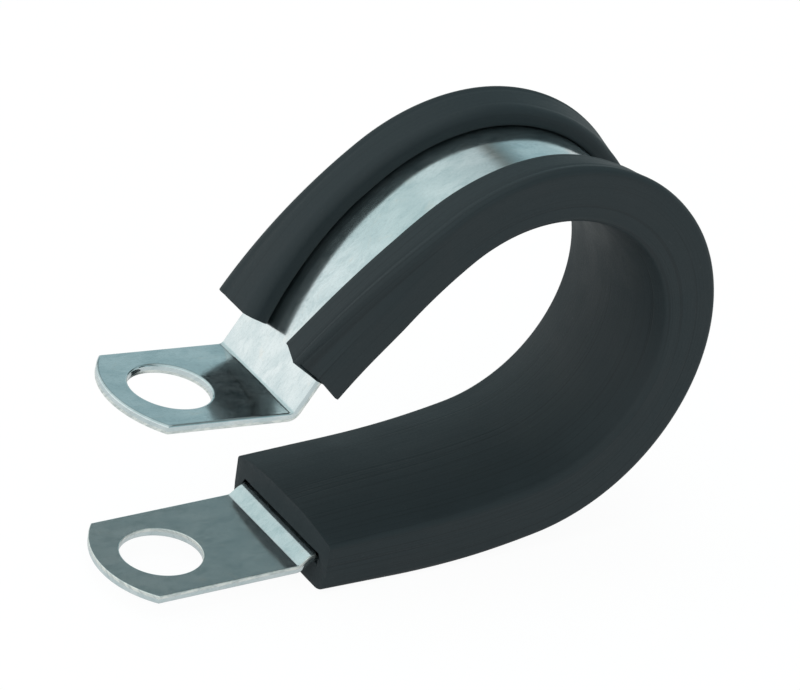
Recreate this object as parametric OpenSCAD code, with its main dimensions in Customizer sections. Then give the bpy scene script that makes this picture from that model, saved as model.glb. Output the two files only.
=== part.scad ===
// Rubber-lined P clip, sprung open.
//
// One punched steel strip is folded into two holed ears and a loop, and one extruded
// rubber channel wraps both edges of the strip along the loop. The lower ear lies flat,
// with its hole centred on the Z axis and its underside at Z = 0. The loop lies towards +X
// and its axis runs along Y. The strip's face towards the held cable is called its inner face.

/* [Strip] */
// Width of the steel strip
strip_w = 15; // [12:0.5:20]
// Thickness of the steel strip
strip_t = 1.0; // [0.8:0.1:1.5]
// Inside radius of the sharp folds
fold_r = 0.6; // [0.4:0.1:1]

/* [Ears] */
// Diameter of the screw hole in each ear
hole_d = 9; // [6:0.5:10]
// Metal left between a hole and the tip of its ear
tip_wall = 2.8; // [2:0.1:5]
// How far the curved end of an ear bows out past its corners
tip_bow = 2.9; // [1:0.1:5]
// Lower ear, from its hole to the joggle
lower_ear_l = 12.6; // [10:0.1:18]
// Upper ear, from its hole to its fold
upper_ear_l = 10.6; // [9:0.1:18]
// How far the upper ear's free end tips up from level
ear_tilt = 5.8; // [0:0.1:12]

/* [Joggle] */
// Height that the joggle lifts the loop above the lower ear
joggle_rise = 1.0; // [0.8:0.1:2.5]
// Slope of the joggle
joggle_slope = 38; // [25:1:45]

/* [Loop] */
// Widest bundle that the open loop takes
bundle_d = 31; // [22:1:50]
// Turn of the round eye of the loop
eye_turn = 205; // [198:1:212]
// Flat run between the joggle and the loop
leg_l = 9.8; // [6:0.1:20]
// Radius of the slack bend that leads from the leg into the eye
foot_r = 96; // [60:1:140]
// Turn of that bend
foot_turn = 10.3; // [4:0.1:14]
// Radius of the slack bend that leads from the eye to the neck
back_r = 53; // [40:1:90]
// Turn of that bend
back_turn = 21.7; // [12:0.1:26]
// Bare neck between the rubber and the upper ear
neck_l = 4.6; // [3:0.1:10]

/* [Rubber lining] */
// Rubber beyond each edge of the slot that holds the strip
side_wall = 1.95; // [1.4:0.05:3]
// Rubber under the strip at the sides of the crowned face
edge_h = 2.5; // [1.8:0.05:3.5]
// How far the crowned face stands above its round sides
crown_h = 1.15; // [0.6:0.05:2]
// Thickness of the lips that hook over the strip
lip_t = 2.65; // [1.8:0.05:3.5]
// Width of bare strip between the two lips
mouth_w = 9.6; // [7:0.1:12]
// Radius of the corners beside the crowned face
cheek_r = 1.1; // [0.6:0.1:1.3]
// Radius of the outer corners of the lips
lip_r = 0.7; // [0.3:0.1:0.9]
// Radius of the free edge of each lip
lip_tip_r = 0.4; // [0.2:0.1:0.8]
// Slack between the strip's inner face and the rubber
base_gap = 0.25; // [0.05:0.05:0.4]
// Slack between the strip's outer face and the lips
lip_gap = 0.1; // [0.05:0.05:0.3]
// Slack between each edge of the strip and the rubber
edge_gap = 0.3; // [0.05:0.05:0.6]
// Bare strip between the joggle and the rubber
lining_setback = 0.75; // [0.6:0.05:3]

/* [Hidden] */

$fn = 96;
corner_fn = 24;                 // facets of the small rounded edges
eps = 1;                        // overrun of a cut past the face that it opens
overrun = 0.5;                  // overrun of a sweep past the plane that cuts it square
span = 20 * strip_w;            // more than the whole clip measures

hole_r = hole_d / 2;
tip_reach = hole_r + tip_wall;  // hole centre to the tip of the ear
tip_r = (pow(strip_w / 2, 2) + pow(tip_bow, 2)) / (2 * tip_bow);

// Straights are shortened by each fold's tangent, so the sizes above run to sharp corners.
// A fold is measured on the inner face, which is the outside of a bend away from the loop.
outer_fold_r = fold_r + strip_t;
joggle_tangent = fold_r * tan(joggle_slope / 2);
leg_tangent = outer_fold_r * tan(joggle_slope / 2);
ramp_l = joggle_rise / sin(joggle_slope) - joggle_tangent - leg_tangent;
neck_fold = foot_turn + eye_turn + back_turn - 180 + ear_tilt;
neck_tangent = fold_r * tan(neck_fold / 2);

lining_half_w = strip_w / 2 + edge_gap + side_wall;
cheek_h = base_gap + edge_h;    // inner face of the strip to the sides of the crowned face
crown_top = cheek_h + crown_h;  // inner face of the strip to the top of the crown
lip_out = strip_t + lip_gap + lip_t;
eye_r = bundle_d / 2 + crown_top;

// Centre of the joggle's upper corner, where the level leg starts
leg_start = [lower_ear_l + joggle_rise / tan(joggle_slope), 0, strip_t + joggle_rise];

// Each step is [length, 0] for a straight or [radius of the inner face, turn] for a bend.
// A positive turn curls towards the inner face.
joggle_steps = [[fold_r, joggle_slope], [ramp_l, 0], [outer_fold_r, -joggle_slope]];
loop_steps = [[foot_r, foot_turn], [eye_r, eye_turn], [back_r, back_turn]];
neck_steps = [[neck_l - neck_tangent, 0], [outer_fold_r, -neck_fold]];
strip_steps = concat(joggle_steps, [[leg_l - leg_tangent, 0]], loop_steps, neck_steps);
lining_steps = concat([[leg_l - lining_setback, 0]], loop_steps);

// Moves what follows from the start of a step to its end. The route runs along +X with its
// inner face up, and bends about the Y direction. The move is made as a coarse and a fine
// part, so that the ends of neighbouring steps keep meeting exactly.
module after(step) {
    radius = step[0];
    turn = step[1];
    move = turn == 0 ? [radius, 0, 0]
        : [radius * sin(abs(turn)), 0, radius * sign(turn) * (1 - cos(turn))];
    coarse = [for (v = move) round(100 * v) / 100];
    translate(coarse) translate(move - coarse) rotate([0, -turn, 0]) children();
}

// Sweeps a flat section through one step and a little further. The section's X points out
// of the outer face and its Y across the strip; it is the same on both sides of its X axis.
module overlong_step(step) {
    radius = step[0];
    turn = abs(step[1]) + overrun * 180 / (PI * radius);
    if (step[1] == 0) {
        rotate([0, 90, 0]) linear_extrude(radius + overrun) children();
    } else if (step[1] > 0) {
        translate([0, 0, radius]) rotate([90, 90, 0])
            rotate_extrude(angle = turn) translate([radius, 0]) children();
    } else {
        translate([0, 0, -radius]) rotate([-90, -90, 0])
            rotate_extrude(angle = turn) translate([radius, 0]) mirror([1, 0]) children();
    }
}

// Sweeps a flat section through one step, and cuts it square where the next step starts
module one_step(step) {
    difference() {
        overlong_step(step) children();
        after(step) translate([0, -strip_w, -strip_w]) cube(2 * strip_w);
    }
}

// Sweeps a flat section along a whole route
module along(steps, i = 0) {
    if (i < len(steps)) {
        one_step(steps[i]) children();
        after(steps[i]) along(steps, i + 1) children();
    }
}

// Places something at the end of a route
module at_end(steps, i = 0) {
    if (i < len(steps)) {
        after(steps[i]) at_end(steps, i + 1) children();
    } else {
        children();
    }
}

// Quarter of a square left outside a circle, with its sharp corner at the origin.
// It points towards +X and +Y, and cutting it away rounds a corner that does the same.
module corner_waste(r) {
    translate([-r, -r]) difference() {
        square(r + eps);
        circle(r, $fn = corner_fn);
    }
}

// Section of the strip before its edges are trimmed to width
module strip_section() {
    translate([0, -strip_w]) square([strip_t, 2 * strip_w]);
}

// Flat ear before its edges are trimmed. It starts at the origin and runs along +X to its
// curved tip, with its inner face up.
module ear(length) {
    difference() {
        intersection() {
            one_step([length, 0]) strip_section();
            union() {
                translate([length - tip_r, 0, -strip_t - eps])
                    cylinder(h = strip_t + 2 * eps, r = tip_r);
                translate([-eps, -span / 2, -strip_t - eps])
                    cube([length - tip_r + eps, span, strip_t + 2 * eps]);
            }
        }
        translate([length - tip_reach, 0, -strip_t - eps])
            cylinder(h = strip_t + 2 * eps, r = hole_r);
    }
}

// Punched and folded steel strip, trimmed to width along its whole length
module steel_strip() {
    color([0.72, 0.78, 0.80])
    intersection() {
        translate([lower_ear_l - joggle_tangent, 0, strip_t]) union() {
            rotate([0, 0, 180]) ear(lower_ear_l - joggle_tangent + tip_reach);
            along(strip_steps) strip_section();
            at_end(strip_steps) ear(upper_ear_l - neck_tangent + tip_reach);
        }
        translate([-span / 2, -strip_w / 2, -span / 2]) cube([span, strip_w, span]);
    }
}

// Outline of the rubber without its slot. The crowned face is one broad arc that runs
// smoothly into a round cheek at each side, and the lips end in square-set round corners.
module lining_outline() {
    // The crown's arc passes through the cheeks' tangent points, crown_h below its top.
    half_chord = lining_half_w - cheek_r;
    crown_r = (pow(half_chord, 2) + pow(crown_h, 2)) / (2 * crown_h);
    crown_x = crown_r - crown_top;
    cheek_x = crown_x - sqrt(pow(crown_r - cheek_r, 2) - pow(half_chord, 2));
    meet_y = half_chord * crown_r / (crown_r - cheek_r);
    intersection() {
        translate([crown_x, 0]) circle(crown_r, $fn = 2 * $fn);
        translate([-crown_top - eps, -meet_y]) square([crown_top + eps, 2 * meet_y]);
    }
    for (side = [-1, 1]) translate([cheek_x, side * half_chord])
        circle(cheek_r, $fn = corner_fn);
    difference() {
        translate([cheek_x, -lining_half_w]) square([lip_out - cheek_x, 2 * lining_half_w]);
        for (side = [0, 1]) mirror([0, side])
            translate([lip_out, lining_half_w]) corner_waste(lip_r);
    }
}

// Section of the extruded rubber channel
module lining_section() {
    slot_half_w = strip_w / 2 + edge_gap;
    difference() {
        lining_outline();
        translate([-base_gap, -slot_half_w])
            square([base_gap + strip_t + lip_gap, 2 * slot_half_w]);
        translate([0, -mouth_w / 2]) square([lip_out + eps, mouth_w]);
        for (side = [0, 1]) mirror([0, side])
            translate([lip_out, mouth_w / 2]) mirror([0, 1]) corner_waste(lip_tip_r);
    }
}

// Extruded rubber channel, pushed over both edges of the strip
module rubber_lining() {
    color([0.19, 0.21, 0.22])
    translate(leg_start + [lining_setback, 0, 0]) along(lining_steps) lining_section();
}

steel_strip();
rubber_lining();
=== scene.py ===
"""Looks for a rubber-lined P clip: a zinc-plated strip, its rubber channel and a plain studio."""
import logging
import math
from dataclasses import dataclass, field
from enum import Enum
from typing import Any, Sequence, Union

import bmesh
import bpy
import numpy as np
from mathutils import Matrix, Vector


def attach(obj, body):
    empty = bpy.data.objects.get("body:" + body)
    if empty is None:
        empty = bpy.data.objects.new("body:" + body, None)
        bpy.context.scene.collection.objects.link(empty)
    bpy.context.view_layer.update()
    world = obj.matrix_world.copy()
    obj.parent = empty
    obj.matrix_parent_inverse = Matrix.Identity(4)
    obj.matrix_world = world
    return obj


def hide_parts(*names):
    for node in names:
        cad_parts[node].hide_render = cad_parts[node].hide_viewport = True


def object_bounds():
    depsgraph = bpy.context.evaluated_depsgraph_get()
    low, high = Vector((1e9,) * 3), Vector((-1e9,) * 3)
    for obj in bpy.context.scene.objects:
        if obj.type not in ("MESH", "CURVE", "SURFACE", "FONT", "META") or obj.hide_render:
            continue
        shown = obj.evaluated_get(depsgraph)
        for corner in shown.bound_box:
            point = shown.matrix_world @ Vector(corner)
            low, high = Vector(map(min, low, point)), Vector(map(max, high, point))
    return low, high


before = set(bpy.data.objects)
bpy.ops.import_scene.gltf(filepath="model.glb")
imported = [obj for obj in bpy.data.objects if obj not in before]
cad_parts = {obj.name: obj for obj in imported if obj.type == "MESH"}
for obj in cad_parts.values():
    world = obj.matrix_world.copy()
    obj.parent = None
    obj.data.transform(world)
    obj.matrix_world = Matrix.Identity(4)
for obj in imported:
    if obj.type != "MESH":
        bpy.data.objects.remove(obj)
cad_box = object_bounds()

logging.basicConfig(level=logging.INFO, format="%(message)s")
log = logging.getLogger("p_clip")

Array = np.ndarray
Colour = tuple[float, float, float]

MM = 0.001
SLIVER = 1e-6           # millimetres of route that need no cross-section of their own
WELD = 1e-8             # metres within which two points are one
FLOOR_GAP = 0.00005     # metres from the solids' lowest point down to the floor
FLAT = "flat"           # the UV map that every finish follows, in millimetres
EDGE = "edge"           # the mark of a sheared or cut face, 0 to 1
WHITE: Colour = (1.0, 1.0, 1.0)


# ---------------------------------------------------------------- shader maths

class Value:
    """A number that varies over a surface, written into formulas like a Python number."""

    def __init__(self, graph: "Graph", socket: bpy.types.NodeSocket) -> None:
        """Wraps one output socket of a node graph."""
        self.graph = graph
        self.socket = socket

    def _maths(self, operation: str, first: Any, second: Any = 0.0) -> "Value":
        """Adds one Math node.

        Args:
            operation: The node's operation.
            first: Left operand.
            second: Right operand.
        Returns:
            The result as a value.
        """
        node = self.graph.add("ShaderNodeMath", {"operation": operation}, {0: first, 1: second})
        return Value(self.graph, node.outputs[0])

    def __add__(self, other: Any) -> "Value":
        """Sum."""
        return self._maths("ADD", self, other)

    def __radd__(self, other: Any) -> "Value":
        """Sum with a number on the left."""
        return self._maths("ADD", other, self)

    def __sub__(self, other: Any) -> "Value":
        """Difference."""
        return self._maths("SUBTRACT", self, other)

    def __rsub__(self, other: Any) -> "Value":
        """Difference with a number on the left."""
        return self._maths("SUBTRACT", other, self)

    def __mul__(self, other: Any) -> "Value":
        """Product."""
        return self._maths("MULTIPLY", self, other)

    def __rmul__(self, other: Any) -> "Value":
        """Product with a number on the left."""
        return self._maths("MULTIPLY", other, self)

    def __truediv__(self, other: Any) -> "Value":
        """Quotient."""
        return self._maths("DIVIDE", self, other)

    def __rtruediv__(self, other: Any) -> "Value":
        """Quotient with a number on the left."""
        return self._maths("DIVIDE", other, self)

    def maths(self, operation: str, other: Any = 0.0) -> "Value":
        """Any other operation of the Math node, with this value on the left."""
        return self._maths(operation, self, other)

    def fit(self, low: float, high: float, to_low: float = 0.0, to_high: float = 1.0) -> "Value":
        """Maps a range smoothly onto another, and holds the ends.

        Args:
            low: Start of the range that is read.
            high: End of the range that is read.
            to_low: What the start becomes.
            to_high: What the end becomes.
        Returns:
            The mapped value.
        """
        node = self.graph.add(
            "ShaderNodeMapRange", {"interpolation_type": "SMOOTHSTEP"},
            {"Value": self, "From Min": low, "From Max": high, "To Min": to_low, "To Max": to_high})
        return Value(self.graph, node.outputs["Result"])


Signal = Union[float, Value]


class Graph:
    """A material's or world's node tree, built one node at a time."""

    def __init__(self, tree: bpy.types.NodeTree) -> None:
        """Clears the tree and starts again."""
        self.tree = tree
        tree.nodes.clear()

    def add(self, kind: str, settings: dict[str, Any] | None = None,
            inputs: dict[Any, Any] | None = None) -> bpy.types.Node:
        """Adds a node.

        Args:
            kind: The node's type.
            settings: Properties set before anything is linked. "stops" fills a colour ramp.
            inputs: Numbers, colours, sockets or values, by socket name or number.
        Returns:
            The node.
        """
        node = self.tree.nodes.new(kind)
        for name, value in (settings or {}).items():
            if name == "stops":
                ramp = node.color_ramp
                while len(ramp.elements) < len(value):
                    ramp.elements.new(0.5)
                for element, (place, colour) in zip(ramp.elements, value):
                    element.position = place
                    element.color = (*colour, 1.0)
            else:
                setattr(node, name, value)
        for name, value in (inputs or {}).items():
            if isinstance(value, Value):
                value = value.socket
            if isinstance(value, bpy.types.NodeSocket):
                self.tree.links.new(value, node.inputs[name])
            else:
                node.inputs[name].default_value = value
        return node

    def blend(self, factor: Signal, first: Any, second: Any) -> bpy.types.NodeSocket:
        """Mixes two colours.

        Args:
            factor: Share of the second colour.
            first: Colour or socket.
            second: Colour or socket.
        Returns:
            The mixed colour's socket.
        """
        def colour(value: Any) -> Any:
            """Gives a plain colour its alpha."""
            return (*value, 1.0) if isinstance(value, tuple) else value
        node = self.add("ShaderNodeMix", {"data_type": "RGBA", "clamp_factor": True},
                        {0: factor, 6: colour(first), 7: colour(second)})
        return node.outputs[2]

    def attribute(self, name: str) -> Value:
        """Reads a number stored on the mesh."""
        node = self.add("ShaderNodeAttribute",
                        {"attribute_name": name, "attribute_type": "GEOMETRY"})
        return Value(self, node.outputs["Fac"])


@dataclass(frozen=True)
class Pattern:
    """Cloudy noise between 0 and 1, stretched over a flat map in millimetres.

    Along and across say how fine it is. Layers is how many finer layers it has, rough is how
    strong they are, and smear is how much it is drawn out of shape.
    """

    along: float
    across: float
    layers: float
    rough: float = 0.5
    smear: float = 0.0

    def lay(self, graph: Graph, flat: bpy.types.NodeSocket) -> Value:
        """Reads the noise at the places of a flat map.

        Args:
            graph: The node tree that it is added to.
            flat: The flat map's socket.
        Returns:
            The noise as a value.
        """
        place = graph.add("ShaderNodeVectorMath", {"operation": "MULTIPLY"},
                          {0: flat, 1: (self.along, self.across, 1.0)})
        noise = graph.add("ShaderNodeTexNoise", {"noise_dimensions": "3D"},
                          {"Vector": place.outputs[0], "Scale": 1.0, "Detail": self.layers,
                           "Roughness": self.rough, "Distortion": self.smear})
        return Value(graph, noise.outputs["Fac"])


# ---------------------------------------------------------------- route

@dataclass(frozen=True)
class Step:
    """A straight or a bend of the strip. A positive turn curls towards the inner face."""

    length: float
    turn: float = 0.0


class Route:
    """Where the strip's inner face runs, in the plane across the loop's axis.

    Sizes are in millimetres and angles in degrees.
    """

    def __init__(self, start: tuple[float, float], steps: Sequence[Step]) -> None:
        """Lays the steps end to end.

        Args:
            start: X and Z of the first point. The route sets off along +X.
            steps: Straights and bends, a bend's length being that of its arc.
        """
        lengths = np.array([step.length for step in steps])
        turns = np.radians([step.turn for step in steps])
        self.begin = np.concatenate([[0.0], np.cumsum(lengths)])
        self.heading = np.concatenate([[0.0], np.cumsum(turns)])
        self.curve = turns / lengths
        self.corner = np.array([start])
        for index in range(len(steps)):
            x, z, _ = self.at(np.array([self.begin[index + 1]]), index)
            self.corner = np.vstack([self.corner, [x[0], z[0]]])

    def at(self, along: Array, step: int | None = None) -> tuple[Array, Array, Array]:
        """Finds points on the route.

        A straight adds length times the heading's cosine and sine. A bend adds the
        difference of its headings' sines and cosines, divided by its curvature.

        Args:
            along: Distances from the start.
            step: The step to read, or None to look it up.
        Returns:
            X, Z and heading of each point.
        """
        if step is None:
            index = np.searchsorted(self.begin, along, "right") - 1
            index = np.clip(index, 0, len(self.curve) - 1)
        else:
            index = np.full(along.shape, step)
        run, first, curve = along - self.begin[index], self.heading[index], self.curve[index]
        heading = first + curve * run
        safe = np.where(curve == 0, 1.0, curve)
        x = np.where(curve == 0, run * np.cos(first), (np.sin(heading) - np.sin(first)) / safe)
        z = np.where(curve == 0, run * np.sin(first), (np.cos(first) - np.cos(heading)) / safe)
        return self.corner[index, 0] + x, self.corner[index, 1] + z, heading

    def place(self, along: Array, across: Array, out: Array) -> Array:
        """Bends a flat shape onto the route.

        Args:
            along: Distance along the strip.
            across: Distance from its middle.
            out: Distance out of its inner face.
        Returns:
            Points in metres.
        """
        x, z, heading = self.at(along)
        return MM * np.stack([x + out * np.sin(heading), across, z - out * np.cos(heading)],
                             axis=-1)

    def stations(self, first: float, last: float, longest: float, turn: float) -> Array:
        """Spaces cross-sections so that neither their distance nor their turn is too large.

        Args:
            first: Where they start.
            last: Where they end.
            longest: Largest distance between two, in millimetres.
            turn: Largest angle between two, in degrees.
        Returns:
            Distances along the route.
        """
        places = [np.array([first])]
        for begin, end, curve in zip(self.begin[:-1], self.begin[1:], self.curve):
            low, high = max(begin, first), min(end, last)
            run = high - low
            if run > SLIVER:
                count = math.ceil(max(run / longest, run * abs(curve) / math.radians(turn)))
                places.append(np.linspace(low, high, count + 1)[1:])
        return np.concatenate(places)


# ---------------------------------------------------------------- meshes

def grid(rows: int, columns: int, first: int = 0, closed: bool = False) -> Array:
    """Numbers the four-sided faces of a grid of points.

    Args:
        rows: Points along one way.
        columns: Points along the other.
        first: Number of the grid's first point.
        closed: Whether the last column joins the first.
    Returns:
        One face a line.
    """
    row = np.arange(rows - 1)[:, None]
    column = np.arange(columns if closed else columns - 1)[None, :]
    after = (column + 1) % columns
    corners = [row * columns + column, row * columns + after,
               (row + 1) * columns + after, (row + 1) * columns + column]
    return first + np.stack(corners, axis=-1).reshape(-1, 4)


@dataclass
class Sheet:
    """Points with their flat place and marks, gathered from several grids."""

    flat: list[Array] = field(default_factory=list)
    marks: list[Array] = field(default_factory=list)
    faces: list[Array] = field(default_factory=list)
    count: int = 0

    def add(self, flat: Array, mark: Array | float, closed: bool = False) -> None:
        """Adds a grid.

        Args:
            flat: Rows by columns by (along, across, out).
            mark: A number for every point, or one for all.
            closed: Whether the last column joins the first.
        """
        rows, columns = flat.shape[:2]
        self.faces.append(grid(rows, columns, self.count, closed))
        self.flat.append(flat.reshape(-1, 3))
        marks = np.broadcast_to(np.asarray(mark, float), (rows, columns))
        self.marks.append(marks.reshape(-1))
        self.count += rows * columns


def build_mesh(name: str, points: Array, faces: Array, layers: dict[str, Array], uv: Array,
               sharp: float) -> bpy.types.Object:
    """Makes an object from arrays, joins the points that coincide and turns its faces outwards.

    Args:
        name: The object's name.
        points: Places in metres.
        faces: Four-sided faces.
        layers: Numbers stored on the points, by name.
        uv: Flat place of each point, in millimetres.
        sharp: Angle past which an edge is shaded as sharp, in degrees.
    Returns:
        The object, linked to the scene.
    """
    mesh = bpy.data.meshes.new(name)
    mesh.from_pydata(points.tolist(), [], faces.tolist())
    for layer, values in layers.items():
        stored = mesh.attributes.new(layer, "FLOAT", "POINT")
        stored.data.foreach_set("value", values.astype(np.float32))
    loops = np.empty(len(mesh.loops), dtype=np.int32)
    mesh.loops.foreach_get("vertex_index", loops)
    flat_map = mesh.uv_layers.new(name=FLAT)
    flat_map.data.foreach_set("uv", uv[loops].astype(np.float32).ravel())
    work = bmesh.new()
    work.from_mesh(mesh)
    bmesh.ops.remove_doubles(work, verts=work.verts, dist=WELD)
    bmesh.ops.recalc_face_normals(work, faces=work.faces)
    work.to_mesh(mesh)
    work.free()
    mesh.polygons.foreach_set("use_smooth", np.ones(len(mesh.polygons), dtype=bool))
    mesh.set_sharp_from_angle(angle=math.radians(sharp))
    piece = bpy.data.objects.new(name, mesh)
    bpy.context.scene.collection.objects.link(piece)
    return piece


def arc(centre: tuple[float, float], radius: float, first: float, last: float,
        count: int) -> Array:
    """Points on a circle between two angles in degrees, measured from the first axis.

    Args:
        centre: The circle's centre.
        radius: Its radius.
        first: Angle of the first point.
        last: Angle of the last point.
        count: Number of points.
    Returns:
        One point a line.
    """
    angle = np.radians(np.linspace(first, last, count))
    return np.array(centre) + radius * np.stack([np.cos(angle), np.sin(angle)], axis=-1)


def line(first: tuple[float, float], last: tuple[float, float], count: int) -> Array:
    """Evenly spaced points between two places."""
    return np.linspace(first, last, count)


def ease(values: Array, low: float, high: float) -> Array:
    """Rises smoothly from 0 at low to 1 at high."""
    share = np.clip((values - low) / (high - low), 0.0, 1.0)
    return share * share * (3.0 - 2.0 * share)


# ---------------------------------------------------------------- finishes

@dataclass(frozen=True)
class ZincPlate:
    """Bright zinc on rolled steel: faint rolling lines, soft blotches and dull sheared edges."""

    bright: Colour = (0.75, 0.81, 0.82)
    shaded: Colour = (0.64, 0.72, 0.735)
    grained: Colour = (0.40, 0.48, 0.50)
    clouded: Colour = (0.46, 0.56, 0.58)
    stained: Colour = (0.80, 0.76, 0.70)
    sheared: Colour = (0.88, 0.90, 0.86)
    burred: Colour = (0.60, 0.65, 0.64)
    roughness: float = 0.105
    edge_roughness: float = 0.2
    haze_roughness: float = 0.5
    relief_strength: float = 0.035
    relief_depth: float = 0.0001
    lines: Pattern = Pattern(0.16, 5.5, 4.0, 0.6)
    grains: Pattern = Pattern(2.2, 3.4, 5.0, 0.68, 0.6)
    blotches: Pattern = Pattern(0.20, 0.34, 3.0, 0.55, 0.3)
    clouds: Pattern = Pattern(0.42, 0.80, 7.0, 0.72, 0.6)
    stains: Pattern = Pattern(0.45, 0.60, 5.0, 0.65, 0.4)
    tears: Pattern = Pattern(0.7, 1.5, 4.0, 0.65, 0.3)

    def material(self) -> bpy.types.Material:
        """Builds the finish. The pattern follows the strip's own flat map.

        A clear metal and a hazy one are mixed, so that dark reflections stay a little milky.
        """
        material = bpy.data.materials.new("zinc_plate")
        material.use_nodes = True
        graph = Graph(material.node_tree)
        flat = graph.add("ShaderNodeUVMap", {"uv_map": FLAT}).outputs[0]
        rolled, grain, blotch, cloud, stain, tear = (
            pattern.lay(graph, flat) for pattern in (
                self.lines, self.grains, self.blotches, self.clouds, self.stains, self.tears))
        edge = graph.attribute(EDGE)
        colour = graph.blend(blotch.fit(0.35, 0.66), self.bright, self.shaded)
        colour = graph.blend(grain.fit(0.55, 0.75) * 0.22, colour, self.grained)
        colour = graph.blend(cloud.fit(0.46, 0.66) * 0.42, colour, self.clouded)
        colour = graph.blend(stain.fit(0.58, 0.72) * 0.30, colour, self.stained)
        torn = graph.blend(tear.fit(0.36, 0.60), self.burred, self.sheared)
        colour = graph.blend(edge, colour, torn)
        roughness = (self.roughness + blotch.fit(0.3, 0.7, -0.02, 0.03)
                     + grain.fit(0.4, 0.7, 0.0, 0.03))
        relief = rolled * 0.35 + grain * 0.65 + edge * tear * 2.0
        bump = graph.add("ShaderNodeBump", {}, {"Height": relief, "Strength": self.relief_strength,
                                                "Distance": self.relief_depth})
        clear, hazy = (
            graph.add("ShaderNodeBsdfPrincipled", {},
                      {"Base Color": colour, "Metallic": 1.0, "Roughness": spread,
                       "Normal": bump.outputs[0]}).outputs[0]
            for spread in (roughness + edge * self.edge_roughness, self.haze_roughness))
        haze = grain.fit(0.35, 0.70, 0.0, 0.11) + cloud.fit(0.38, 0.62, 0.06, 0.0)
        shader = graph.add("ShaderNodeMixShader", {}, {0: haze, 1: clear, 2: hazy})
        graph.add("ShaderNodeOutputMaterial", {}, {0: shader.outputs[0]})
        return material


@dataclass(frozen=True)
class ExtrudedRubber:
    """Near-black rubber with drawn lines along its length, fine grit and a soft sheen."""

    body: Colour = (0.0156, 0.0230, 0.0262)
    worn: Colour = (0.0210, 0.0300, 0.0340)
    line: Colour = (0.0080, 0.0115, 0.0135)
    dusty: Colour = (0.045, 0.052, 0.054)
    roughness: float = 0.56
    cut_roughness: float = 0.1
    sheen: float = 0.32
    relief_strength: float = 0.30
    relief_depth: float = 0.0001
    drawing: Pattern = Pattern(0.035, 2.6, 4.0, 0.65)
    scores: Pattern = Pattern(0.018, 1.9, 1.0, 0.5, 0.10)
    hair_lines: Pattern = Pattern(0.012, 5.5, 2.0, 0.6)
    clouds: Pattern = Pattern(0.12, 0.22, 4.0, 0.6, 0.5)
    grits: Pattern = Pattern(3.0, 4.5, 4.0, 0.7)
    dusts: Pattern = Pattern(1.1, 2.3, 2.0, 0.4, 1.5)

    def material(self) -> bpy.types.Material:
        """Builds the finish. The pattern follows the length and girth of the channel."""
        material = bpy.data.materials.new("extruded_rubber")
        material.use_nodes = True
        graph = Graph(material.node_tree)
        flat = graph.add("ShaderNodeUVMap", {"uv_map": FLAT}).outputs[0]
        drawn, scored, hairs, cloudy, grit, dust = (
            pattern.lay(graph, flat) for pattern in (
                self.drawing, self.scores, self.hair_lines, self.clouds, self.grits, self.dusts))
        cut = graph.attribute(EDGE)
        whole = 1.0 - cut
        colour = graph.blend(cloudy.fit(0.3, 0.75, 0.0, 0.6), self.body, self.worn)
        colour = graph.blend(drawn.fit(0.45, 0.75, 0.0, 0.35) * whole, colour, self.worn)
        colour = graph.blend(scored.fit(0.64, 0.72, 0.0, 0.40) * whole, colour, self.line)
        colour = graph.blend(hairs.fit(0.55, 0.68, 0.0, 0.45) * whole, colour, self.line)
        colour = graph.blend(dust.fit(0.70, 0.80, 0.0, 0.30), colour, self.dusty)
        colour = graph.blend(cut * 0.25, colour, self.worn)
        roughness = (self.roughness + cloudy.fit(0.3, 0.7, -0.05, 0.06)
                     + grit.fit(0.3, 0.7, -0.03, 0.05) + cut * self.cut_roughness)
        relief = drawn * whole * 0.5 + grit * 0.5 - scored.fit(0.64, 0.72) * whole * 0.6
        bump = graph.add("ShaderNodeBump", {}, {"Height": relief, "Strength": self.relief_strength,
                                                "Distance": self.relief_depth})
        shader = graph.add("ShaderNodeBsdfPrincipled", {},
                           {"Base Color": colour, "Roughness": roughness,
                            "Specular IOR Level": self.sheen, "Normal": bump.outputs[0]})
        graph.add("ShaderNodeOutputMaterial", {}, {0: shader.outputs[0]})
        return material


# ---------------------------------------------------------------- pieces

@dataclass(frozen=True)
class Sizes:
    """Sizes that the strip and its lining share, in millimetres and degrees."""

    width: float = 15.0
    thickness: float = 1.0
    tip_reach: float = 7.3
    lower_start: float = 12.3934
    lower_rise: tuple[float, float] = (0.6, 38.0)
    ramp: float = 0.86675
    upper_rise: tuple[float, float] = (1.6, 38.0)
    leg: float = 9.2491
    foot: tuple[float, float] = (96.0, 10.3)
    eye: tuple[float, float] = (19.4, 205.0)
    back: tuple[float, float] = (53.0, 21.7)
    neck: float = 4.23376
    fold: tuple[float, float] = (1.6, 62.8)
    upper_ear: float = 10.23376

    def route(self) -> Route:
        """The inner face of the strip from the lower ear's tip to the upper ear's tip."""
        def bend(size: tuple[float, float], way: float = 1.0) -> Step:
            """An arc of a radius and a turn."""
            return Step(size[0] * math.radians(size[1]), way * size[1])
        return Route((-self.tip_reach, self.thickness), [
            Step(self.tip_reach + self.lower_start), bend(self.lower_rise), Step(self.ramp),
            bend(self.upper_rise, -1.0), Step(self.leg), bend(self.foot), bend(self.eye),
            bend(self.back), Step(self.neck), bend(self.fold, -1.0),
            Step(self.upper_ear + self.tip_reach)])


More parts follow.
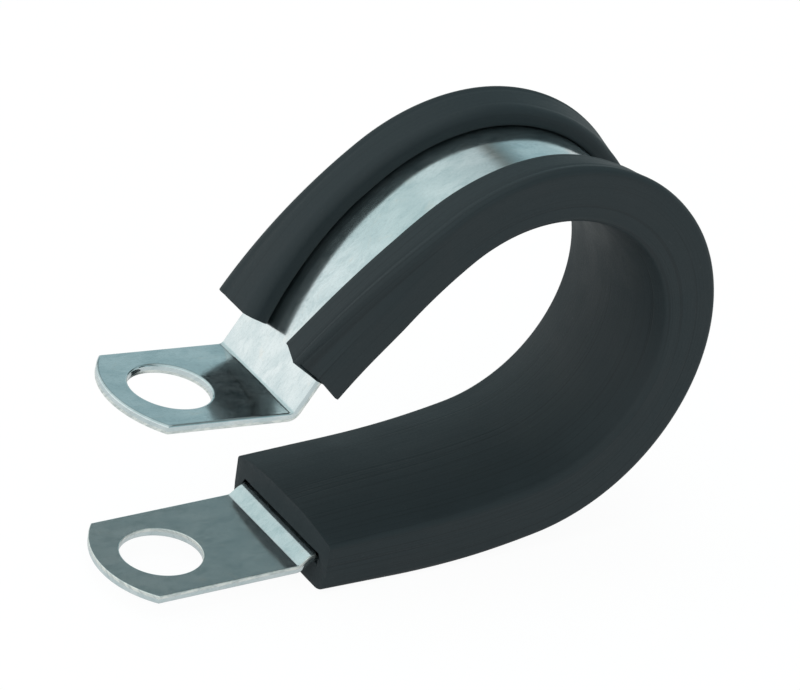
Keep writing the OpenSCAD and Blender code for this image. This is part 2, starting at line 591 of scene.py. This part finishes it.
@dataclass
class SteelStrip:
    """The punched and folded strip, with the edges that punching leaves."""

    sizes: Sizes = field(default_factory=Sizes)
    finish: ZincPlate = field(default_factory=ZincPlate)
    hole: float = 4.5
    tip_bow: float = 2.9
    rolled: float = 0.26
    rolled_points: int = 8
    crisp: float = 0.09
    crisp_points: int = 5
    torn: tuple[float, float] = (0.30, 0.42)
    join: float = 7.6
    across: int = 17
    brim: float = 0.05
    side_points: int = 24
    tip_points: int = 41
    rings: tuple[float, ...] = (0.0, 0.012, 0.15, 0.32, 0.5, 0.68, 0.85, 0.988, 1.0)
    spacing: float = 0.8
    turn: float = 4.0
    sharp: float = 32.0

    def columns(self, half: float) -> Array:
        """Places points across the strip, the last but one close to each edge."""
        middle = np.linspace(self.brim - half, half - self.brim, self.across - 2)
        return np.concatenate([[-half], middle, [half]])

    def rim(self) -> tuple[Array, Array]:
        """Edge profile from the inner face to the outer one, as inset and depth.

        The inner face's edge is nearly sharp. The outer face's edge is a quarter of a circle.
        """
        thick, crisp, rolled = self.sizes.thickness, self.crisp, self.rolled
        inner = arc((crisp, crisp), crisp, 270.0, 180.0, self.crisp_points)
        wall = line((0.0, thick * 0.30), (0.0, thick * 0.55), 3)
        outer = arc((rolled, thick - rolled), rolled, 180.0, 90.0, self.rolled_points)
        profile = np.vstack([inner, wall, outer])
        return profile[:, 0], profile[:, 1]

    def tear(self, depths: Array) -> Array:
        """Marks the sheared edge: fully torn up to the first depth, smooth past the second."""
        return 1.0 - ease(depths, *self.torn)

    def outline(self, inset: float) -> Array:
        """Closed outline of an ear, drawn in from its edge.

        The tip is an arc that runs into straight sides at two corners. The first points run
        across the ear where the plain strip starts.

        Args:
            inset: How far the outline is drawn in.
        Returns:
            Points as distance from the hole towards the strip, and across.
        """
        half = self.sizes.width / 2
        radius = (half ** 2 + self.tip_bow ** 2) / (2 * self.tip_bow)
        centre = radius - self.sizes.tip_reach
        half, radius = half - inset, radius - inset
        corner = centre - math.sqrt(radius ** 2 - half ** 2)
        angle = math.degrees(math.asin(half / radius))
        columns = self.columns(half)
        return np.vstack([
            np.stack([np.full(self.across, self.join), columns], axis=-1)[:-1],
            line((self.join, half), (corner, half), self.side_points)[:-1],
            arc((centre, 0.0), radius, 180.0 - angle, 180.0 + angle, self.tip_points)[:-1],
            line((corner, -half), (self.join, -half), self.side_points)[:-1]])

    def ear(self, sheet: Sheet, hole_at: float, way: float) -> None:
        """Adds an ear: two faces round the hole, the hole's wall and the outer rim.

        Args:
            sheet: What the ear is added to.
            hole_at: Distance along the strip of the hole's centre.
            way: 1 where the plain strip follows the ear, -1 where it comes before.
        """
        insets, depths = self.rim()
        reach, side = self.outline(0.0).T
        angle = np.arctan2(side, reach)
        ring = np.stack([np.cos(angle), np.sin(angle)], axis=-1)

        def lift(plan: Array, depth: Array | float) -> Array:
            """Turns rows of plan points into flat places on the strip."""
            along = hole_at + way * plan[..., 0]
            return np.stack([along, plan[..., 1], np.broadcast_to(depth, along.shape)], axis=-1)

        share = np.array(self.rings)[:, None, None]
        for inset, depth in ((insets[0], depths[0]), (insets[-1], depths[-1])):
            inside = ring * (self.hole + inset)
            face = inside + (self.outline(inset) - inside) * share
            sheet.add(lift(face, depth), 0.0, closed=True)
        wall = ring * (self.hole + insets)[:, None, None]
        torn = self.tear(depths)
        torn[0] = 0.0
        sheet.add(lift(wall, depths[:, None]), torn[:, None], closed=True)
        shift = self.across - 1
        free = np.stack([np.roll(self.outline(inset), -shift, axis=0) for inset in insets])
        free = free[:, :free.shape[1] - shift + 1]
        sheet.add(lift(free, depths[:, None]), torn[:, None])

    def run(self, sheet: Sheet, stations: Array) -> None:
        """Adds the plain strip between the ears, as its section carried along.

        Args:
            sheet: What the run is added to.
            stations: Distances along the strip.
        """
        insets, depths = self.rim()
        half = self.sizes.width / 2
        inner, outer = (
            np.stack([self.columns(half - insets[index]), np.full(self.across, depths[index])],
                     axis=-1) for index in (0, -1))
        side = np.stack([half - insets, depths], axis=-1)
        back = side[::-1] * (-1.0, 1.0)
        section = np.vstack([inner, side[1:-1], outer[::-1], back[1:-1]])
        torn = self.tear(section[:, 1])
        torn[:self.across] = 0.0
        places = np.broadcast_to(section, (len(stations), *section.shape))
        along = np.broadcast_to(stations[:, None, None], (*places.shape[:2], 1))
        sheet.add(np.concatenate([along, places], axis=-1), torn[None, :], closed=True)

    def build(self) -> bpy.types.Object:
        """Makes the strip and hands it to the frame.

        Returns:
            The strip.
        """
        route = self.sizes.route()
        first, last = self.sizes.tip_reach, route.begin[-1] - self.sizes.tip_reach
        sheet = Sheet()
        self.ear(sheet, first, 1.0)
        self.ear(sheet, last, -1.0)
        self.run(sheet, route.stations(first + self.join, last - self.join, self.spacing,
                                       self.turn))
        flat = np.vstack(sheet.flat)
        marks = np.concatenate(sheet.marks)
        piece = build_mesh("strip", route.place(*flat.T), np.vstack(sheet.faces), {EDGE: marks},
                           flat[:, :2] + flat[:, 2:] * (0.0, 1.0), self.sharp)
        piece.data.materials.append(self.finish.material())
        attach(piece, "root")
        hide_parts("steel_strip")
        return piece


@dataclass(frozen=True)
class Slack:
    """How one side of the channel leaves its plain section, and over what length.

    Each row holds one number for each of the nine marks that run from the lip's foot, over its
    tip's start and end, groove, corner and wall, to the cheek's start and end and the middle
    of the crown.
    """

    inward: tuple[float, ...]
    outward: tuple[float, ...]
    short: tuple[float, ...]
    reach: tuple[float, ...] = (16.0, 16.0, 16.0, 20.0, 20.0, 13.0, 10.0, 10.0, 10.0)


MARKS = 9
LEVEL = (0.0,) * MARKS

# The near, far and lower cut ends. They fade with the distance from their end.
NEAR_END = Slack((1.5, 1.8, 2.0, 2.45, 3.00, 1.50, 1.35, 1.25, 0.0),
                 (0.0, 0.0, 0.0, 0.05, 0.30, 0.0, 0.0, 0.0, 0.0),
                 (0.95, 0.90, 0.80, -0.05, 0.25, 0.0, -0.95, -1.05, -0.30))
FAR_END = Slack((2.30, 2.20, 2.00, 0.6, 0.0, 0.0, 0.0, 0.0, 0.0),
                (0.20, 0.40, 0.45, 0.40, 0.35, 0.0, 0.0, 0.0, 0.0),
                (0.45, 0.35, 0.10, 0.10, 0.05, 0.0, 0.0, 0.0, -0.30))
LOWER_END = Slack((0.8, 0.8, 0.8, 1.6, 0.15, 0.0, 0.0, 0.0, 0.0),
                  (0.0, 0.0, 0.0, 0.10, 0.0, 0.0, 0.0, 0.35, 0.80), LEVEL,
                  (16.0, 16.0, 16.0, 20.0, 20.0, 13.0, 12.0, 12.0, 12.0))
# The near side's cheek stands a little fuller over the upper half of the loop.
FULL = Slack(LEVEL, (0.0, 0.0, 0.0, 0.0, 0.0, 0.0, -0.14, -0.16, -0.05), LEVEL, (60.0,) * MARKS)

# The lips drawn thin round the eye, and thinner still where the eye turns back.
STRETCHED = Slack(LEVEL, (0.0, -0.28, -0.35, -0.05, 0.0, 0.0, 0.0, 0.0, 0.0), LEVEL)
TAUT = Slack(LEVEL, (0.0, -0.30, -0.42, -0.15, 0.0, 0.0, 0.0, 0.0, 0.0), LEVEL)


@dataclass
class RubberLining:
    """The extruded channel that wraps the strip's edges.

    Round the eye its lips are drawn thin. Towards the cut ends they are slack, and close in.
    """

    sizes: Sizes = field(default_factory=Sizes)
    finish: ExtrudedRubber = field(default_factory=ExtrudedRubber)
    half_width: float = 9.75
    slot_half: float = 7.8
    crown: float = 3.9
    crown_rise: float = 1.15
    cheek: float = 0.9
    lip_out: float = 3.82
    lip_round: float = 0.82
    tip_round: float = 1.2
    foot_round: float = 0.8
    groove: float = 0.08
    groove_half: float = 0.38
    mouth_half: float = 4.8
    base_gap: float = 0.25
    lip_gap: float = 0.1
    setback: float = 0.199
    cut_edge: float = 0.07
    cut_share: float = 0.3
    cut_rings: int = 4
    cut_map: float = 300.0
    foot_points: int = 39
    slot_points: int = 15
    fade_power: float = 1.5
    slant_reach: float = 5.0
    spacing: float = 0.55
    turn: float = 2.5
    sharp: float = 40.0

    def section(self) -> tuple[Array, Array, Array]:
        """Outer and inner contour of half the channel, and where the outer one's marks are.

        The crowned face is one broad arc that touches a small circle at each side.

        Returns:
            Two rows of as many points, as distance out of the strip's inner face and across,
            and the numbers of the points at the nine marks.
        """
        chord = self.half_width - self.cheek
        radius = (chord ** 2 + self.crown_rise ** 2) / (2 * self.crown_rise)
        centre = radius - self.crown
        cheek_at = centre - math.sqrt((radius - self.cheek) ** 2 - chord ** 2)
        lean = math.degrees(math.asin(chord / (radius - self.cheek)))
        lip, tip, corner = self.lip_out, self.tip_round, self.half_width - self.lip_round
        foot = self.sizes.thickness + self.lip_gap
        dip, toe = corner - self.groove_half, self.foot_round
        runs = [
            arc((foot + toe, self.mouth_half + toe), toe, 180.0, 270.0, 10),
            line((foot + toe, self.mouth_half), (lip - tip, self.mouth_half), 4),
            arc((lip - tip, self.mouth_half + tip), tip, 270.0, 360.0, 14),
            line((lip, self.mouth_half + tip), (lip, dip - self.groove_half), 12),
            line((lip, dip - self.groove_half), (lip - self.groove, dip), 4),
            line((lip - self.groove, dip), (lip, corner), 4),
            arc((lip - self.lip_round, corner), self.lip_round, 0.0, 90.0, 10),
            line((lip - self.lip_round, self.half_width), (foot, self.half_width), 8),
            line((foot, self.half_width), (cheek_at, self.half_width), 10),
            arc((cheek_at, chord), self.cheek, 90.0, 180.0 - lean, 12),
            arc((centre, 0.0), radius, 180.0 - lean, 180.0, 32)]
        starts = np.cumsum([0] + [len(run) - 1 for run in runs])
        outer = np.vstack([run[:-1] for run in runs] + [runs[-1][-1:]])
        slot, floor = self.slot_half, -self.base_gap
        rest = len(outer) - self.foot_points - self.slot_points + 2
        inner = np.vstack([
            line((foot, self.mouth_half + toe), (foot, slot), self.foot_points)[:-1],
            line((foot, slot), (floor, slot), self.slot_points)[:-1],
            line((floor, slot), (floor, 0.0), rest)])
        return outer, inner, starts[[0, 2, 3, 5, 7, 8, 9, 10, 11]]

    def relax(self, slack: Slack, marks: Array, from_end: Array,
              share: Array | float = 1.0) -> Array:
        """Works out how far each point of one side moves.

        A point's move fades with its distance from the end, as a power of what is left of the
        reach. Between two marks it is blended evenly.

        Args:
            slack: The side's table.
            marks: Numbers of the points at the marks.
            from_end: Distance of each cross-section from the end.
            share: How much of the table applies at each cross-section.
        Returns:
            Cross-sections by points by (short, inward, outward).
        """
        def left(reach: Array | float) -> Array:
            """What is left of a reach, to the power that the moves fade with."""
            return np.clip(1.0 - from_end[:, None] / reach, 0.0, 1.0) ** self.fade_power

        fade = left(np.array(slack.reach)) * np.reshape(share, (-1, 1))
        table = np.stack([left(self.slant_reach) * slack.short, fade * slack.inward,
                          fade * slack.outward], axis=-1)
        points = np.arange(marks[-1] + 1)
        place = np.clip(np.searchsorted(marks, points, "right") - 1, 0, len(marks) - 2)
        blend = ((points - marks[place]) / (marks[place + 1] - marks[place]))[None, :, None]
        return table[:, place] * (1.0 - blend) + table[:, place + 1] * blend

    def side(self, stations: Array, way: float) -> Array:
        """Lays one side of the channel out flat.

        Args:
            stations: Distances along the strip.
            way: 1 for the far side and -1 for the near one.
        Returns:
            Cross-sections by points by (along, across, out), the outer contour from lip to
            crown and then the inner one.
        """
        outer, inner, marks = self.section()
        run, left = stations - stations[0], stations[-1] - stations
        here = np.zeros_like(stations)
        stretch = ease(left, 12.0, 27.0) * ease(run, 20.0, 36.0)
        taut = ease(run, 60.0, 69.0) * (1.0 - ease(run, 75.0, 84.0))
        move = (self.relax(NEAR_END if way < 0 else FAR_END, marks, left)
                + self.relax(STRETCHED, marks, here, stretch)
                + self.relax(TAUT, marks, here, taut)
                + self.relax(FULL, marks, left, 1.0 if way < 0 else 0.0)
                + self.relax(LOWER_END, marks, run))
        across = outer[:, 1] - move[..., 1]
        skin = np.stack([stations[:, None] - move[..., 0], way * across,
                         outer[:, 0] + move[..., 2]], axis=-1)
        under = ease(self.slot_half - inner[:, 1], 0.0, self.slot_half - self.mouth_half)
        under *= inner[:, 0] > self.sizes.thickness / 2
        short = move[:, :1, 0] * under + move[:, -1:, 0] * (1.0 - under)
        slot = np.stack([stations[:, None] - short, way * (inner[:, 1] - move[:, :1, 1] * under),
                         np.broadcast_to(inner[:, 0], short.shape)], axis=-1)
        return np.concatenate([skin, slot[:, ::-1]], axis=1)

    def build(self) -> bpy.types.Object:
        """Makes the lining and hands it to the frame.

        Returns:
            The lining.
        """
        route = self.sizes.route()
        first, last = route.begin[4] + self.setback, route.begin[8]
        edge, nick = self.cut_edge, self.cut_edge * self.cut_share
        stations = route.stations(first + edge, last - edge, self.spacing, self.turn)
        stations = np.concatenate([[first, first + nick], stations, [last - nick, last]])
        near, far = self.side(stations, -1.0), self.side(stations, 1.0)
        half = near.shape[1] // 2
        body = np.concatenate([far[:, :half], near[:, half - 2::-1], near[:, -2:half - 1:-1],
                               far[:, half + 1:-1]], axis=1)
        body = self.break_edges(body)
        around = body.shape[1]
        sheet = Sheet()
        sheet.add(body, 0.0, closed=True)
        share = np.linspace(0.0, 1.0, self.cut_rings)[:, None, None]
        count = 2 * half - 1
        back = np.concatenate([[0], np.arange(around - 1, count - 1, -1), [count - 1]])
        for index in (0, -1):
            ring = body[index]
            sheet.add(ring[:count] + (ring[back] - ring[:count]) * share, 1.0)
        flat = np.vstack(sheet.flat)
        girth = np.linalg.norm(np.diff(body[len(stations) // 2], axis=0), axis=1)
        uv = flat[:, :2].copy()
        total = around * len(stations)
        uv[:total, 1] = np.tile(np.concatenate([[0.0], np.cumsum(girth)]), len(stations))
        uv[total:, 0] = self.cut_map + flat[total:, 2]
        piece = build_mesh("lining", route.place(*flat.T), np.vstack(sheet.faces),
                           {EDGE: np.concatenate(sheet.marks)}, uv, self.sharp)
        piece.data.materials.append(self.finish.material())
        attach(piece, "root")
        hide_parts("rubber_lining")
        return piece

    def break_edges(self, body: Array) -> Array:
        """Draws the end cross-sections in, so that the cut edges aren't knife sharp.

        The last moves by the whole cut edge, and the last but one by a share of it, along the
        normal of the contour, which is its own step turned by a quarter.

        Args:
            body: Cross-sections by points by (along, across, out).
        Returns:
            The same, drawn in at both ends.
        """
        plan = body[..., 1:]
        step = np.roll(plan, -1, axis=1) - np.roll(plan, 1, axis=1)
        normal = np.stack([step[..., 1], -step[..., 0]], axis=-1)
        normal /= np.maximum(np.linalg.norm(normal, axis=-1, keepdims=True), 1e-9)
        middle = np.argmin(plan[0, :, 1])
        if normal[0, middle, 1] < 0:
            normal = -normal
        shrink = np.zeros(len(body))
        share = self.cut_share
        shrink[[0, 1, -2, -1]] = np.array([1.0, share, share, 1.0]) * self.cut_edge
        drawn = body.copy()
        drawn[..., 1:] += normal * shrink[:, None, None]
        return drawn


# ---------------------------------------------------------------- studio

@dataclass(frozen=True)
class Camera:
    """A long lens, a little rolled."""

    place: tuple[float, float, float] = (-0.2740355, -0.4178979, 0.3200670)
    right: tuple[float, float, float] = (0.84640588, -0.51656691, 0.12944389)
    down: tuple[float, float, float] = (-0.16840013, -0.4902212, -0.85517517)
    ahead: tuple[float, float, float] = (0.50521133, 0.70202692, -0.50191604)
    lens: float = 252.065
    sensor: float = 36.0
    clip: tuple[float, float] = (0.01, 10.0)

    def build(self) -> bpy.types.Object:
        """Makes the camera and makes it the scene's own."""
        data = bpy.data.cameras.new("camera")
        data.lens = self.lens
        data.sensor_width = self.sensor
        data.clip_start, data.clip_end = self.clip
        camera = bpy.data.objects.new("camera", data)
        up, back = [-v for v in self.down], [-v for v in self.ahead]
        turn = Matrix((self.right, up, back)).transposed()
        camera.matrix_world = Matrix.Translation(Vector(self.place)) @ turn.to_4x4()
        bpy.context.scene.collection.objects.link(camera)
        bpy.context.scene.camera = camera
        return camera


class Lamp(Enum):
    """The studio's soft lamps: place, where each looks, size, power and colour."""

    TOP = ((0.05, 0.10, 0.75), (0.03, 0.0, 0.02), 0.45, 1.2, (1.0, 1.0, 1.0))
    BACK_LEFT = ((-0.55, 0.45, 0.35), (0.02, 0.0, 0.02), 0.55, 0.2, (0.96, 0.99, 1.0))
    FRONT = ((-0.45, -0.60, 0.35), (0.03, 0.0, 0.02), 0.60, 1.0, (1.0, 1.0, 1.0))


@dataclass
class Studio:
    """A plain pale floor, soft lamps and a white surround.

    Each shade is what the surround shows at an angle in degrees, see world().
    """

    floor_height: float = 0.0
    floor_half: float = 3.0
    floor_colour: Colour = (0.60, 0.61, 0.61)
    floor_glow: float = 1.055
    seen_share: float = 0.90
    mirrored_share: float = 0.40
    shades: tuple[tuple[float, Colour], ...] = (
        (0.0, (0.50, 0.62, 0.64)), (24.0, (0.40, 0.54, 0.57)), (36.0, (0.39, 0.53, 0.56)),
        (42.0, (0.24, 0.345, 0.37)), (47.0, (0.18, 0.25, 0.26)), (54.0, (0.17, 0.18, 0.17)),
        (62.0, (0.52, 0.60, 0.61)), (90.0, (0.70, 0.80, 0.80)), (122.0, (0.64, 0.77, 0.77)),
        (140.0, (0.90, 0.97, 0.97)), (162.0, (1.04, 1.06, 1.05)),
        (180.0, (1.20, 1.20, 1.20)))

    def world(self) -> None:
        """Lights the surround. It is white to the camera, and graded for everything else.

        The grade follows the angle round the loop's own axis, from +X through up to -X, so each
        stretch of the strip mirrors its own shade.
        """
        world = bpy.data.worlds.new("surround")
        world.use_nodes = True
        bpy.context.scene.world = world
        graph = Graph(world.node_tree)
        ways = graph.add("ShaderNodeTexCoord").outputs["Generated"]
        split = graph.add("ShaderNodeSeparateXYZ", {}, {0: ways})
        rise, reach = Value(graph, split.outputs[2]), Value(graph, split.outputs[0])
        angle = rise.maths("ARCTAN2", reach) / math.pi
        ramp = graph.add("ShaderNodeValToRGB", {"stops": [
            (place / 180.0, shade) for place, shade in self.shades]}, {"Fac": angle})
        paths = graph.add("ShaderNodeLightPath")
        seen = Value(graph, paths.outputs["Is Camera Ray"])
        colour = graph.blend(seen, ramp.outputs[0], WHITE)
        shader = graph.add("ShaderNodeBackground", {}, {"Color": colour, "Strength": 1.0})
        graph.add("ShaderNodeOutputWorld", {}, {0: shader.outputs[0]})

    def floor(self) -> bpy.types.Object:
        """Lays the floor. It is white to the camera, but for a share that takes the shadow."""
        side = self.floor_half
        corners = np.array([(-side, -side), (side, -side), (side, side), (-side, side)])
        points = np.column_stack([corners, np.full(4, self.floor_height)])
        mesh = bpy.data.meshes.new("floor")
        mesh.from_pydata(points.tolist(), [], [(0, 1, 2, 3)])
        floor = bpy.data.objects.new("floor", mesh)
        bpy.context.scene.collection.objects.link(floor)
        material = bpy.data.materials.new("pale_floor")
        material.use_nodes = True
        graph = Graph(material.node_tree)
        matt = graph.add("ShaderNodeBsdfDiffuse", {}, {"Color": (*self.floor_colour, 1.0)})
        glow = graph.add("ShaderNodeEmission", {},
                         {"Color": (*WHITE, 1.0), "Strength": self.floor_glow})
        paths = graph.add("ShaderNodeLightPath")
        seen = Value(graph, paths.outputs["Is Camera Ray"]) * self.seen_share
        mirrored = Value(graph, paths.outputs["Is Glossy Ray"]) * self.mirrored_share
        mixed = graph.add("ShaderNodeMixShader", {},
                          {0: seen + mirrored, 1: matt.outputs[0], 2: glow.outputs[0]})
        graph.add("ShaderNodeOutputMaterial", {}, {0: mixed.outputs[0]})
        mesh.materials.append(material)
        return floor

    def lamps(self) -> None:
        """Hangs the soft lamps."""
        for lamp in Lamp:
            place, target, size, power, colour = lamp.value
            data = bpy.data.lights.new(lamp.name.lower(), "AREA")
            data.shape, data.size, data.energy, data.color = "SQUARE", size, power, colour
            item = bpy.data.objects.new(lamp.name.lower(), data)
            item.location = place
            item.visible_glossy = False
            look = Vector(target) - Vector(place)
            item.rotation_euler = look.to_track_quat("-Z", "Y").to_euler()
            bpy.context.scene.collection.objects.link(item)

    def build(self) -> None:
        """Sets the whole studio up."""
        bpy.context.scene.view_settings.view_transform = "Standard"
        self.world()
        self.floor()
        self.lamps()


def main() -> None:
    """Builds the pieces and the studio, and notes their sizes."""
    sizes = Sizes()
    for part in (SteelStrip(sizes), RubberLining(sizes)):
        piece = part.build()
        log.info("%s: %d faces", piece.name, len(piece.data.polygons))
    Studio(floor_height=cad_box[0][2] - FLOOR_GAP).build()
    Camera().build()
    bpy.context.view_layer.update()


if __name__ == "__main__":
    main()
